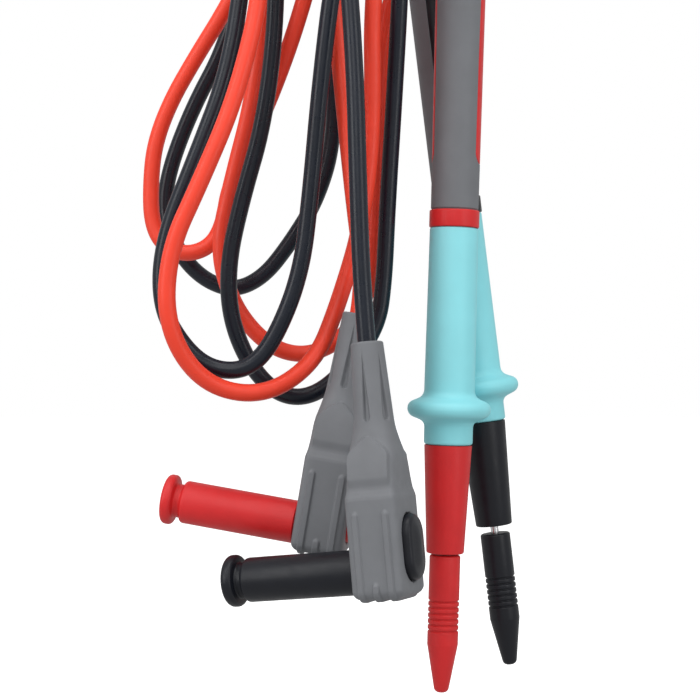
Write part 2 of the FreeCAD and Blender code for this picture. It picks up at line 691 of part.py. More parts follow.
def make_cable(name, start, route, end):
    """The free cable, a round tube from the plug's mouth to the boot's."""
    points = [start] + [FreeCAD.Vector(*point) for point in route] + [end]
    path, radii = rounded_path(points)
    radius = worth("cable_diameter / 2")
    disc = Part.Face(Part.Wire(Part.Circle(start, points[1] - start, radius).toShape()))
    tube = path.makePipe(disc)
    cable = doc.addObject("Part::Feature", name)
    cable.Label = name
    cable.Shape = tube
    cable.Placement = FreeCAD.Placement()
    expected = path.Length * math.pi * radius ** 2
    ratio = tube.Volume / expected
    print(f"{name}: length {path.Length:.0f}, smallest radius {min(radii):.1f}, volume ratio {ratio:.4f}")
    if abs(ratio - 1) > 0.01:
        raise RuntimeError(f"{name}: the tube's volume isn't its section times its length")
    return cable


def stand(base, spin, lean, nod=0.0):
    """A placement at a base point, turned about its own long axis, then leant, then nodded."""
    spun = FreeCAD.Rotation(FreeCAD.Vector(0, 0, 1), spin)
    leant = FreeCAD.Rotation(FreeCAD.Vector(0, 1, 0), lean).multiply(spun)
    nodded = FreeCAD.Rotation(FreeCAD.Vector(1, 0, 0), nod).multiply(leant)
    return FreeCAD.Placement(FreeCAD.Vector(*base), nodded)


def make_probe(colour, lead):
    """One lead's probe; returns its parts and the middle of the boot's mouth."""
    place = stand(lead["nose"], lead["probe_spin"], lead["probe_lean"])
    parts = [
        make_tip_cap(f"{colour}_tip_cap", place, lead["cap_gap"]),
        make_needle(f"{colour}_needle", place),
        make_crimp(f"{colour}_needle_crimp", place),
        make_probe_core(f"{colour}_probe_core", place),
        make_guard(f"{colour}_finger_guard", place),
        make_grip(f"{colour}_grip_sleeve", place),
        make_boot(f"{colour}_probe_boot", place),
    ]
    bare = "conductor_diameter / 2"
    bare_low, bare_high = "needle_root + crimp_floor", f"{CABLE_LOW} + probe_bare_length"
    parts.append(make_rod(f"{colour}_probe_conductor", place, bare, bare_low, bare_high))
    parts.append(make_rod(f"{colour}_probe_cable", place, "cable_diameter / 2", bare_high, BOOT_TOP))
    return parts, place.multVec(FreeCAD.Vector(0, 0, worth(BOOT_TOP)))


def make_plug(colour, lead):
    """One lead's plug; returns its parts and the middle of the bend relief's mouth."""
    place = stand(lead["heel"], lead["plug_spin"], lead["plug_lean"], lead["plug_nod"])
    sideways = FreeCAD.Rotation(FreeCAD.Vector(0, 1, 0), -90)
    along = place.multiply(FreeCAD.Placement(FreeCAD.Vector(0, 0, worth("shroud_height")), sideways))
    parts = [
        make_plug_body(f"{colour}_plug_body", place),
        make_plug_core(f"{colour}_plug_core", along),
        make_pin(f"{colour}_plug_pin", along),
        make_spring(f"{colour}_pin_spring", along),
        make_terminal(f"{colour}_plug_terminal", place),
        make_button(f"{colour}_rear_cap", place),
        make_cover(f"{colour}_plug_cover", along),
    ]
    bare = "conductor_diameter / 2"
    parts.append(make_rod(f"{colour}_plug_conductor", place, bare, "shroud_height", BARE_TOP))
    parts.append(make_rod(f"{colour}_plug_cable", place, "cable_diameter / 2", BARE_TOP, "plug_length"))
    return parts, place.multVec(FreeCAD.Vector(0, 0, worth("plug_length")))


def check(parts):
    """Stop if any object failed or any sub-part has no sound solid."""
    for thing in doc.Objects:
        if "Invalid" in thing.State or "Error" in thing.State:
            raise RuntimeError(f"{thing.Name} ({thing.Label}) failed: {thing.State}")
    for part in parts:
        if part.Shape.isNull() or not part.Shape.isValid() or not part.Shape.Solids:
            raise RuntimeError(f"{part.Label} has no sound solid")


def main():
    parts = []
    for colour, lead in LEADS.items():
        probe, boot_mouth = make_probe(colour, lead)
        plug, plug_mouth = make_plug(colour, lead)
        parts += probe + plug + [make_cable(f"{colour}_cable", plug_mouth, ROUTES[colour], boot_mouth)]
        print(f"{colour}: plug mouth {plug_mouth}, boot mouth {boot_mouth}")
    doc.recompute()
    check(parts)
    os.makedirs("parts", exist_ok=True)
    for part in parts:
        part.Shape.exportStep(f"parts/{part.Label}.step")
    print(len(parts), "parts")


main()
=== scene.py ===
import json
import math

import bmesh
import bpy
from mathutils import Matrix, Vector


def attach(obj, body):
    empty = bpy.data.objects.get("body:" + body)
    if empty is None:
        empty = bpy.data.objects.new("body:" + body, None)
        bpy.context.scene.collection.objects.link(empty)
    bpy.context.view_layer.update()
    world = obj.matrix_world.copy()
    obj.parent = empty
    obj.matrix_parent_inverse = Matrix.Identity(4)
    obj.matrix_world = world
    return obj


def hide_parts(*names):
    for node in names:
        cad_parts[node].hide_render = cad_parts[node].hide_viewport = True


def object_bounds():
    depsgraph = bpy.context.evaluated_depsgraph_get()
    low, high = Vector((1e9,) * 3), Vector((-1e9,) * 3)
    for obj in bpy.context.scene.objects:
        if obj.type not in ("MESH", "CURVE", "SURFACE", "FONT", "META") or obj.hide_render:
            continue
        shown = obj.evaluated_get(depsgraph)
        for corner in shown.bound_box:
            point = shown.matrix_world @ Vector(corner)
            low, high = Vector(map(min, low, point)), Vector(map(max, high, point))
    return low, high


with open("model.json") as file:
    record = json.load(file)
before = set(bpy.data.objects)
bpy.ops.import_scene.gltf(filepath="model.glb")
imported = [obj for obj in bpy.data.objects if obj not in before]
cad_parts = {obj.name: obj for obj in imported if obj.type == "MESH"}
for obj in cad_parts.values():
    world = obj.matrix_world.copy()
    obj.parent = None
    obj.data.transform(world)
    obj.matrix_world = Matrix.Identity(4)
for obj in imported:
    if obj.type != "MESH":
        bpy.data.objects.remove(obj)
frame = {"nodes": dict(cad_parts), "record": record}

# A pair of test leads hung over a peg. Profiles are in millimetres in each piece's own frame, and MM turns
# them into the row frame's metres. A probe's frame stands on the barrel's nose with +Z towards the cable; a
# plug's stands on its lower end with +Z towards the cable and the shroud along -X.
MM = 0.001
COLOURS = ("red", "black")
CAD_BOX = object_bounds()
RECORD = frame["record"]
MOUNTS = {mount["name"]: mount for mount in RECORD["mounts"]}

CABLE_DIAMETER = 4.0
# Heights along a probe, up from the barrel's nose.
BARREL = 26.0
GUARD_TOP = 78.0
RING_TOP = 82.2
GRIP_TOP = 152.2
BOOT_TOP = 174.2
# Down from the nose: the needle's reach, and the cap's length and how far it stands off.
NEEDLE_REACH = 19.0
CAP_LENGTH = 33.0
CAP_GAP = {"red": 0.4, "black": 2.0}
# Each probe's turn about its own axis, in degrees.
PROBE_SPIN = {"red": -10.0, "black": 95.0}
# Each plug's turns in degrees: about its own long axis, to the right, and to the back.
PLUG_TURNS = {"red": (-8.0, 9.4, 0.0), "black": (-22.0, -5.0, -5.0)}
PLUG_LENGTH = 55.4
# The shroud's axis above the plug's lower end, and where along it the shroud ends and its cover starts.
SHROUD_HEIGHT = 5.8
SHROUD_END = 32.6
COVER_START = 6.3


# ---------------------------------------------------------------- camera, light and stage

CAMERA_PLACE = (0.004, -0.380, -0.147)
# The width that the camera sees at y = 0.
SEEN_WIDTH = 0.1645
SENSOR_WIDTH = 36.0
# The world's strength as a light.
AMBIENT = 0.56
FLOOR_SIZE = 6.0
FLOOR_DROP = 0.06


def add_camera():
    """A square view from the front, from a little over a third of a metre."""
    data = bpy.data.cameras.new("camera")
    data.sensor_width = SENSOR_WIDTH
    data.lens = SENSOR_WIDTH * -CAMERA_PLACE[1] / SEEN_WIDTH
    data.clip_start = 0.01
    camera = bpy.data.objects.new("camera", data)
    camera.location = CAMERA_PLACE
    camera.rotation_euler = (math.radians(90), 0, 0)
    bpy.context.collection.objects.link(camera)
    bpy.context.scene.camera = camera


def add_light(name, place, size, power, aim=(0.0, 0.0, -0.14)):
    """A soft rectangular lamp that faces the leads."""
    data = bpy.data.lights.new(name, "AREA")
    data.shape = "RECTANGLE"
    data.size, data.size_y = size
    data.energy = power
    lamp = bpy.data.objects.new(name, data)
    lamp.location = place
    lamp.rotation_euler = (Vector(aim) - Vector(place)).to_track_quat("-Z", "Y").to_euler()
    bpy.context.collection.objects.link(lamp)


def dim_world(world):
    """White where the camera sees the world, and dimmer as a light, so that the lamps shape the leads."""
    nodes, links = world.node_tree.nodes, world.node_tree.links
    seen = nodes["Background"]
    seen.inputs["Color"].default_value = (1, 1, 1, 1)
    seen.inputs["Strength"].default_value = 1.0
    ambient = nodes.new("ShaderNodeBackground")
    ambient.inputs["Color"].default_value = (1, 1, 1, 1)
    ambient.inputs["Strength"].default_value = AMBIENT
    rays = nodes.new("ShaderNodeLightPath")
    either = nodes.new("ShaderNodeMixShader")
    links.new(rays.outputs["Is Camera Ray"], either.inputs["Fac"])
    links.new(ambient.outputs["Background"], either.inputs[1])
    links.new(seen.outputs["Background"], either.inputs[2])
    links.new(either.outputs["Shader"], nodes["World Output"].inputs["Surface"])


def add_stage():
    """A pale floor well below the leads, and a white world around them."""
    bpy.ops.mesh.primitive_plane_add(size=FLOOR_SIZE, location=(0, 0, CAD_BOX[0][2] - FLOOR_DROP))
    floor = bpy.context.object
    floor.name = "floor"
    # The floor is seen but lights nothing, so that the undersides stay darker than the tops.
    floor.visible_diffuse = False
    floor.visible_glossy = False
    material = bpy.data.materials.new("floor_white")
    material.use_nodes = True
    shader = material.node_tree.nodes["Principled BSDF"]
    shader.inputs["Base Color"].default_value = (0.93, 0.93, 0.93, 1)
    shader.inputs["Roughness"].default_value = 0.9
    shader.inputs["Emission Color"].default_value = (1, 1, 1, 1)
    shader.inputs["Emission Strength"].default_value = 0.70
    floor.data.materials.append(material)
    world = bpy.data.worlds.new("white")
    world.use_nodes = True
    dim_world(world)
    bpy.context.scene.world = world
    bpy.context.scene.view_settings.view_transform = "Standard"


add_camera()
add_stage()
add_light("key_left", (-0.42, -0.30, 0.10), (0.22, 0.60), 1.3)
add_light("key_right", (0.40, -0.34, 0.05), (0.20, 0.60), 0.8)
add_light("top", (0.0, -0.12, 0.45), (0.50, 0.30), 1.2)
add_light("front", (-0.10, -0.80, 0.48), (0.50, 0.90), 2.8)


# ---------------------------------------------------------------- materials

# The range of a noise texture that its colours and glosses are spread over.
NOISE_SPAN = (0.3, 0.7)


def link(material, source, target):
    """Join one node's output to another's input."""
    material.node_tree.links.new(source, target)


def new_material(name, colour, roughness, specular=0.5):
    """A material with the values that are the same all over its surface."""
    material = bpy.data.materials.new(name)
    material.use_nodes = True
    shader = material.node_tree.nodes["Principled BSDF"]
    shader.inputs["Base Color"].default_value = (*colour, 1)
    shader.inputs["Roughness"].default_value = roughness
    shader.inputs["Specular IOR Level"].default_value = specular
    return material, shader


def noise(material, scale, detail=3.0):
    """A noise texture on the piece's own coordinates, in features per metre."""
    nodes = material.node_tree.nodes
    place = nodes.new("ShaderNodeTexCoord")
    texture = nodes.new("ShaderNodeTexNoise")
    texture.inputs["Scale"].default_value = scale
    texture.inputs["Detail"].default_value = detail
    link(material, place.outputs["Object"], texture.inputs["Vector"])
    return texture.outputs["Fac"]


def spread(material, value, low, high):
    """Map a 0 to 1 value onto a range."""
    node = material.node_tree.nodes.new("ShaderNodeMapRange")
    node.inputs["From Min"].default_value = NOISE_SPAN[0]
    node.inputs["From Max"].default_value = NOISE_SPAN[1]
    node.inputs["To Min"].default_value = low
    node.inputs["To Max"].default_value = high
    link(material, value, node.inputs["Value"])
    return node.outputs["Result"]


def mottle(material, shader, colour, amount, scale):
    """Vary the colour a little either way over the surface."""
    ramp = material.node_tree.nodes.new("ShaderNodeValToRGB")
    dark, light = ramp.color_ramp.elements
    dark.position, light.position = NOISE_SPAN
    dark.color = (*[share * (1 - amount) for share in colour], 1)
    light.color = (*[min(1, share * (1 + amount)) for share in colour], 1)
    link(material, noise(material, scale), ramp.inputs["Fac"])
    link(material, ramp.outputs["Color"], shader.inputs["Base Color"])


def grain(material, shader, scale, distance):
    """A fine moulded or rubber grain as bump."""
    bump = material.node_tree.nodes.new("ShaderNodeBump")
    bump.inputs["Strength"].default_value = 1.0
    bump.inputs["Distance"].default_value = distance
    link(material, noise(material, scale, detail=4.0), bump.inputs["Height"])
    link(material, bump.outputs["Normal"], shader.inputs["Normal"])


# Features per metre of the colour's mottling, of the uneven gloss and of each surface's grain.
MOULDED_MOTTLE = 160.0
MOULDED_GLOSS = 420.0
METAL_MOTTLE = 300.0
METAL_GLOSS = 900.0
MOULDED_GRAIN = 4200.0
CABLE_GRAIN = 1500.0
METAL_GRAIN = 2600.0
# How deep the metal's grain is, in metres.
METAL_GRAIN_DEPTH = 0.0000012


def moulded(name, colour, roughness, amount, grain_depth, specular=0.5, grain_scale=MOULDED_GRAIN):
    """Moulded plastic or rubber: mottled colour, uneven gloss and a fine grain."""
    material, shader = new_material(name, colour, roughness, specular)
    mottle(material, shader, colour, amount, MOULDED_MOTTLE)
    uneven = spread(material, noise(material, MOULDED_GLOSS), roughness - 0.06, roughness + 0.07)
    link(material, uneven, shader.inputs["Roughness"])
    grain(material, shader, grain_scale, grain_depth)
    return material


def metal(name, colour, roughness):
    """Plated or bare metal with faint turning marks."""
    material, shader = new_material(name, colour, roughness)
    shader.inputs["Metallic"].default_value = 1.0
    mottle(material, shader, colour, amount=0.03, scale=METAL_MOTTLE)
    uneven = spread(material, noise(material, METAL_GLOSS), roughness - 0.03, roughness + 0.05)
    link(material, uneven, shader.inputs["Roughness"])
    grain(material, shader, METAL_GRAIN, METAL_GRAIN_DEPTH)
    return material


MATERIALS = {
    "red_plastic": moulded("red_plastic", (0.62, 0.018, 0.020), 0.42, 0.05, 0.000012, specular=0.35),
    "black_plastic": moulded("black_plastic", (0.007, 0.008, 0.012), 0.38, 0.10, 0.000014, specular=0.30),
    "red_cable": moulded("red_cable", (0.84, 0.050, 0.020), 0.42, 0.03, 0.000006, specular=0.4,
                         grain_scale=CABLE_GRAIN),
    "black_cable": moulded("black_cable", (0.006, 0.009, 0.017), 0.30, 0.10, 0.000005, specular=0.36,
                           grain_scale=CABLE_GRAIN),
    "grey_rubber": moulded("grey_rubber", (0.150, 0.156, 0.168), 0.60, 0.04, 0.000020),
    "turquoise_rubber": moulded("turquoise_rubber", (0.25, 0.69, 0.75), 0.50, 0.02, 0.000012),
    "plated_steel": metal("plated_steel", (0.70, 0.70, 0.71), 0.22),
    "plated_brass": metal("plated_brass", (0.72, 0.69, 0.62), 0.25),
    "brass": metal("brass", (0.66, 0.46, 0.18), 0.30),
    "copper": metal("copper", (0.72, 0.33, 0.18), 0.35),
}
SLOTS = {part["node"]: part["material_slot"] for part in RECORD["subparts"]}
BODY_OF = {node: body for body, nodes in RECORD["behaviour"]["bodies"].items() for node in nodes}


def dress_cad_nodes():
    """Give every CAD node its material, including those that a piece will stand for."""
    for node, thing in frame["nodes"].items():
        thing.data.materials.clear()
        thing.data.materials.append(MATERIALS[SLOTS[node]])


dress_cad_nodes()


# ---------------------------------------------------------------- where the pieces stand

def probe_place(colour):
    """A probe's frame, from its needle's mount and the turn about its own axis."""
    mount = MOUNTS[f"{colour}_needle_point"]
    down = Vector(mount["axis"])
    nose = Vector(mount["pos_m"]) - down * NEEDLE_REACH * MM
    lean = Matrix.Rotation(math.atan2(-down.x, -down.z), 4, "Y")
    return Matrix.Translation(nose) @ lean @ Matrix.Rotation(math.radians(PROBE_SPIN[colour]), 4, "Z")


def plug_place(colour):
    """A plug's frame, from its shroud's mount and the plug's turns."""
    spin, lean, nod = (math.radians(turn) for turn in PLUG_TURNS[colour])
    turned = Matrix.Rotation(nod, 4, "X") @ Matrix.Rotation(lean, 4, "Y") @ Matrix.Rotation(spin, 4, "Z")
    mouth = turned @ Vector((-SHROUD_END * MM, 0, SHROUD_HEIGHT * MM))
    return Matrix.Translation(Vector(MOUNTS[f"{colour}_plug_mouth"]["pos_m"]) - mouth) @ turned


def shroud_place(colour):
    """The frame along a plug's shroud: +Z out of its mouth, from the plug's middle."""
    up = Matrix.Translation((0, 0, SHROUD_HEIGHT * MM))
    return plug_place(colour) @ up @ Matrix.Rotation(math.radians(-90), 4, "Y")


# ---------------------------------------------------------------- mesh helpers

def finish_piece(name, mesh, node, smooth_angle=32.0):
    """Link a mesh as the piece that stands for a CAD node, and ride it on that node's body."""
    mesh.materials.append(MATERIALS[SLOTS[node]])
    for face in mesh.polygons:
        face.use_smooth = True
    mesh.set_sharp_from_angle(angle=math.radians(smooth_angle))
    piece = bpy.data.objects.new(name, mesh)
    bpy.context.collection.objects.link(piece)
    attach(piece, BODY_OF[node])
    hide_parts(node)


def skin(name, rings, place):
    """A closed mesh through rings of millimetre points; a ring of one point closes an end."""
    work = bmesh.new()
    made = [[work.verts.new(Vector(point) * MM) for point in ring] for ring in rings]
    pairs = list(zip(made, made[1:]))
    if len(made[0]) > 1 and len(made[-1]) > 1:
        pairs.append((made[-1], made[0]))
    for low, high in pairs:
        join_rings(work, low, high)
    bmesh.ops.recalc_face_normals(work, faces=work.faces)
    bmesh.ops.transform(work, matrix=place, verts=work.verts)
    mesh = bpy.data.meshes.new(name)
    work.to_mesh(mesh)
    work.free()
    return mesh


def join_rings(work, low, high):
    """Faces between two rings, or between a ring and a single point."""
    count = max(len(low), len(high))
    for step in range(count):
        after = (step + 1) % count
        if len(low) == 1:
            work.faces.new((low[0], high[after], high[step]))
        elif len(high) == 1:
            work.faces.new((low[step], low[after], high[0]))
        else:
            work.faces.new((low[step], low[after], high[after], high[step]))


def rounded(corners, steps=5):
    """An outline's (radius, height, rounding) corners, with each rounding drawn as a short arc."""
    points = []
    for index, corner in enumerate(corners):
        here = Vector(corner[:2])
        if len(corner) == 2:
            points.append(here)
            continue
        back = (Vector(corners[index - 1][:2]) - here).normalized()
        ahead = (Vector(corners[(index + 1) % len(corners)][:2]) - here).normalized()
        half = back.angle(ahead) / 2
        centre = here + (back + ahead).normalized() * corner[2] / math.sin(half)
        start = here + back * corner[2] / math.tan(half) - centre
        end = here + ahead * corner[2] / math.tan(half) - centre
        for step in range(steps + 1):
            points.append(centre + start.slerp(end, step / steps).normalized() * corner[2])
    return points


def turned_ring(radius, height, segments):
    """A circle of points about +Z, or the one point on the axis."""
    if radius == 0:
        return [(0, 0, height)]
    angles = [2 * math.pi * step / segments for step in range(segments)]
    return [(radius * math.cos(angle), radius * math.sin(angle), height) for angle in angles]


def lathe(name, corners, place, node, segments=96):
    """Turn an outline about +Z; its ends lie on the axis, or it closes on itself."""
    rings = [turned_ring(point.x, point.y, segments) for point in rounded(corners)]
    finish_piece(name, skin(name, rings, place), node)


def smooth(value, low, high):
    """0 below low, 1 above high and an S-curve between; low may be the larger, which turns it round."""
    share = min(1.0, max(0.0, (value - low) / (high - low)))
    return share * share * (3 - 2 * share)


def along_levels(levels, height):
    """The values at a height, read off (height, value, value...) levels with a straight line between."""
    for low, high in zip(levels, levels[1:]):
        if height <= high[0]:
            share = (height - low[0]) / (high[0] - low[0])
            return [a + (b - a) * share for a, b in zip(low[1:], high[1:])]
    return list(levels[-1][1:])


def even_steps(first, last, step):
    """Heights from first to last, at most a step apart."""
    count = math.ceil(abs(last - first) / step)
    return [first + (last - first) * index / count for index in range(count + 1)]


def outside_slot(across, height, half_width, low, high):
    """How far a place lies outside an upright round-ended slot; negative inside it."""
    nearest = min(max(height, low + half_width), high - half_width)
    return math.hypot(across, height - nearest) - half_width


# ---------------------------------------------------------------- probes

# The rigid tube inside the guard and the grip.
TUBE_RADIUS = 4.2
NEEDLE_RADIUS = 1.0
# How high in the barrel the needle's root is.
NEEDLE_ROOT = 12.0
# The grip's radius at the ring and at the boot.
GRIP_RADII = (5.70, 6.10)
# How long the grip's rounded edges are, and how far they drop.
GRIP_EDGE = 0.4
GRIP_EDGE_DROP = 0.35
GRIP_AROUND = 240
CAP_RIBS = 6
BOOT_GROOVES = 6
# The hairline between two mouldings that meet.
HAIRLINE = 0.02
# The windows in the grip, how deep they are sunk, and the gap that the stripes leave around them.
STRIPE = {"half_width": 2.8, "low": 93.2, "high": 146.7}
STRIPE_DEPTH = 0.45
STRIPE_GAP = 0.10


def grip_radius(height):
    """The grip tapers outwards from the ring to the boot."""
    share = (height - RING_TOP) / (GRIP_TOP - RING_TOP)
    return GRIP_RADII[0] + (GRIP_RADII[1] - GRIP_RADII[0]) * share


def make_tip_cap(colour, place):
    """The push-on cap: a collar, six rounded ribs, a shoulder and a cone, bored for the needle."""
    top = -CAP_GAP[colour]
    end = top - CAP_LENGTH
    bore, wall, valley, tip = 1.05, 3.7, 3.35, 1.62
    bore_depth, collar, pitch, below_ribs = 20.5, 10.8, 1.4, 2.2
    corners = [(0, top - bore_depth), (bore, top - bore_depth), (bore, top, 0.2), (wall, top, 0.55)]
    for rib in range(CAP_RIBS):
        groove = top - collar - rib * pitch
        corners += [(wall, groove, 0.3), (valley, groove - 0.12, 0.1)]
        corners += [(valley, groove - 0.38, 0.1), (wall, groove - 0.5, 0.3)]
    shoulder = top - collar - CAP_RIBS * pitch - below_ribs
    corners += [(wall, shoulder, 1.2), (tip, end, 1.25), (0, end)]
    lathe(f"{colour}_cap_moulding", corners, place, f"{colour}_tip_cap")


def make_needle(colour, place):
    """The steel needle: a plain shaft that tapers to a fine point."""
    point, taper = 0.22, 4.0
    corners = [(0, -NEEDLE_REACH), (point, -NEEDLE_REACH, 0.12), (NEEDLE_RADIUS, taper - NEEDLE_REACH, 1.5)]
    corners += [(NEEDLE_RADIUS, NEEDLE_ROOT), (0, NEEDLE_ROOT)]
    lathe(f"{colour}_needle_shaft", corners, place, f"{colour}_needle", segments=48)


def make_barrel(colour, place):
    """The rigid moulding's barrel, the tube inside the guard and the grip, and the ring between them."""
    node = f"{colour}_probe_core"
    nose, shoulder, ring, bore, bore_floor = 4.5, 5.72, 6.0, 2.3, 20.0
    corners = [(NEEDLE_RADIUS, 0.0, 0.15), (nose, 0.0, 0.45), (shoulder, BARREL - 0.1, 0.1)]
    corners += [(TUBE_RADIUS, BARREL), (TUBE_RADIUS, GUARD_TOP)]
    corners += [(ring, GUARD_TOP + HAIRLINE, 0.35), (ring, RING_TOP - HAIRLINE, 0.35)]
    corners += [(TUBE_RADIUS, RING_TOP), (TUBE_RADIUS, GRIP_TOP)]
    corners += [(bore, GRIP_TOP), (bore, bore_floor), (NEEDLE_RADIUS, NEEDLE_ROOT)]
    lathe(f"{colour}_barrel", corners, place, node)


def make_guard(colour, place):
    """The soft finger guard, with a rounded flange that runs into the sleeve in hollow curves."""
    skirt, flange, waist, top = 5.85, 10.0, 6.1, 5.8
    corners = [(TUBE_RADIUS, BARREL), (skirt, BARREL + HAIRLINE, 0.7), (skirt, 31.4, 1.8)]
    corners += [(flange, 33.1, 2.1), (flange, 35.9, 2.0), (waist, 37.6, 2.2)]
    corners += [(top, GUARD_TOP - HAIRLINE, 0.5), (TUBE_RADIUS, GUARD_TOP)]
    lathe(f"{colour}_guard", corners, place, f"{colour}_finger_guard")


def grip_heights():
    """The heights of the grip's rings: fine across the windows' round ends and coarse elsewhere."""
    low, high = STRIPE["low"], STRIPE["high"]
    beyond, within, fine = 0.8, 3.2, 0.2
    near_edge = 0.05
    heights = [RING_TOP, RING_TOP + near_edge, *even_steps(RING_TOP + GRIP_EDGE, low - 1, 2.0)]
    heights += even_steps(low - beyond, low + within, fine)
    heights += even_steps(low + 4, high - 4, 3.0)
    heights += even_steps(high - within, high + beyond, fine)
    heights += [*even_steps(high + 1.2, GRIP_TOP - GRIP_EDGE, 1.5), GRIP_TOP - near_edge, GRIP_TOP]
    return heights


def make_grip(colour, place):
    """The rubber grip, sunk on both sides where the stripes lie."""
    rings = [turned_ring(TUBE_RADIUS, RING_TOP, GRIP_AROUND)]
    for height in grip_heights():
        edge = min(height - RING_TOP, GRIP_TOP - height)
        radius = grip_radius(height) - GRIP_EDGE_DROP * smooth(edge, GRIP_EDGE, 0.0)
        rings.append([grip_point(point, height, radius) for point in turned_ring(1.0, height, GRIP_AROUND)])
    rings.append(turned_ring(TUBE_RADIUS, GRIP_TOP, GRIP_AROUND))
    node = f"{colour}_grip_sleeve"
    finish_piece(f"{colour}_grip", skin(f"{colour}_grip", rings, place), node)


def grip_point(way, height, radius):
    """A point on the grip, in the direction of a unit ring's point."""
    outside = outside_slot(way[1] * radius, height, STRIPE["half_width"], STRIPE["low"], STRIPE["high"])
    sunk = radius - STRIPE_DEPTH * smooth(outside, 0.08, -0.12)
    return (way[0] * sunk, way[1] * sunk, height)


def slot_ring(inset, half_width, low, high):
    """A round-ended slot's outline, drawn inwards by an inset, as (across, height) points."""
    arc_steps, spacing = 20, 2.0
    side = half_width - inset
    top, bottom = high - half_width, low + half_width
    arc = [math.pi * step / arc_steps for step in range(arc_steps + 1)]
    points = [(side * math.cos(angle), top + side * math.sin(angle)) for angle in arc]
    points += [(-side, height) for height in even_steps(top, bottom, spacing)[1:-1]]
    points += [(-side * math.cos(angle), bottom - side * math.sin(angle)) for angle in arc]
    points += [(side, height) for height in even_steps(bottom, top, spacing)[1:-1]]
    return points


def make_stripes(colour, place):
    """The two stripes of the rigid moulding, each a round-ended patch that lies in the grip's window."""
    shape = (STRIPE["half_width"] - STRIPE_GAP, STRIPE["low"] + STRIPE_GAP, STRIPE["high"] - STRIPE_GAP)
    # Each ring of a patch: how far in from its outline, and how far above the grip's surface. The last one is
    # just short of the patch's middle line.
    middle, root = 2.69, -0.9
    levels = [(middle, root), (0.0, root), (0.0, -0.2), (0.04, -0.09), (0.12, -0.03)]
    levels += [(inset, 0.0) for inset in (0.25, 0.7, 1.2, 1.7, 2.2, middle)]
    for side in (1, -1):
        rings = []
        for inset, rise in levels:
            ring = [stripe_point(side, across, height, rise) for across, height in slot_ring(inset, *shape)]
            rings.append(ring)
        rings = [[middle_of(rings[0])], *rings, [middle_of(rings[-1])]]
        name = f"{colour}_stripe_{'right' if side > 0 else 'left'}"
        finish_piece(name, skin(name, rings, place), f"{colour}_probe_core")


def stripe_point(side, across, height, rise):
    """A point at a rise above the grip's surface, on its +X or -X side."""
    radius = grip_radius(height) + rise
    return (side * math.sqrt(radius ** 2 - across ** 2), across, height)


def middle_of(ring):
    """The average of a ring's points."""
    return tuple(sum(point[axis] for point in ring) / len(ring) for axis in range(3))


def make_boot(colour, place):
    """The tapered boot around the cable, with rounded grooves that let it bend."""
    bore, wide, narrow, valley = 2.05, 5.2, 3.4, 3.1
    first_groove, pitch = 3.0, 2.8
    corners = [(bore, GRIP_TOP), (wide, GRIP_TOP, 0.4)]
    for groove in range(BOOT_GROOVES):
        low = GRIP_TOP + first_groove + pitch * groove
        outer = wide - (low - GRIP_TOP) * (wide - narrow) / (BOOT_TOP - GRIP_TOP)
        corners += [(outer, low - 0.1, 0.3), (valley, low + 0.05, 0.25)]
        corners += [(valley, low + 0.85, 0.25), (outer - 0.1, low + 1.0, 0.3)]
    corners += [(narrow, BOOT_TOP, 0.5), (bore, BOOT_TOP, 0.2)]
    lathe(f"{colour}_boot", corners, place, f"{colour}_probe_boot")


# ---------------------------------------------------------------- plugs

# The overmould's half width (X), half depth (Y) and section exponent at each height.
BODY_LEVELS = [
    (0.0, 6.0, 7.5, 9.0), (21.2, 6.0, 7.5, 9.0), (21.8, 5.94, 7.40, 9.0), (22.4, 5.82, 7.16, 9.0),
    (23.3, 5.70, 6.86, 8.0), (25.0, 5.60, 6.62, 7.0), (27.0, 5.60, 6.40, 6.0), (29.5, 5.62, 6.05, 5.0),
    (31.5, 5.35, 5.65, 3.6), (33.5, 5.00, 5.15, 2.8), (36.6, 4.52, 4.55, 2.2), (39.0, 4.4, 4.4, 2.0),
    (55.4, 3.55, 3.55, 2.0),
]
# The step from the block to the shoulder lies between these heights.
STEP = (21.2, 24.2)
# Above the step each size is the average of five levels this far apart.
EASING = 0.45
BOTTOM_ROUND = 2.0
TOP_ROUND = 0.5
# The cable's mouth at the top, and how deep it shows.
MOUTH = 2.03
MOUTH_DEPTH = 4.0
# Each rib's place across the face and its top.
RIBS = ((-3.45, 18.8), (0.0, 3.6), (3.45, 18.8))
RIB_HALF = 0.85
# The share of a rib's half width that is flat.
RIB_FLAT = 0.65
RIB_RISE = 0.50
ARCH_HALF = 4.75
ARCH_RISE = 0.48
ARCH_LOW = 23.6
ARCH_BLEND = 2.4
ARCH_SHOULDER = 30.3
ARCH_TOP = 35.0
# The arch's edges: how its sides curve in to the point, how long the slope at its top is, and where the
# slope of its sides starts and ends, out from its outline.
ARCH_CURVE = 1.7
ARCH_TIP = 0.3
ARCH_SIDE = (0.10, -0.16)
# Only places this far from the middle plane, front or back, carry ribs and arches; between the two they fade.
FACE = (3.0, 5.0)
FLUTES = 6
FLUTE_TOP = 53.6
FLUTE_LOW = 38.9
FLUTE_HALF = 1.0
FLUTE_DEPTH = 0.85
# How soon a narrowing flute gets shallower, and the share of its half width that is its floor.
FLUTE_FILL = 1.4
FLUTE_FLOOR = 0.35
BUTTON = {"half_width": 4.7, "low": 3.3, "high": 17.7}
BUTTON_SEAT = 4.7
SEAT_EDGE = 0.35
CORE_RADIUS = 4.65
CORE_EDGE = 0.30
# How far out the seat's and the shroud's sides of the overmould begin.
SIDE = 5.0
AROUND = 384
# The rings underneath, as shares of the way out, closest together near the middle.
UNDER_SHARES = (0.03, 0.06, 0.1, 0.14, 0.2, 0.3, 0.4, 0.5, 0.6, 0.7, 0.8, 0.9)


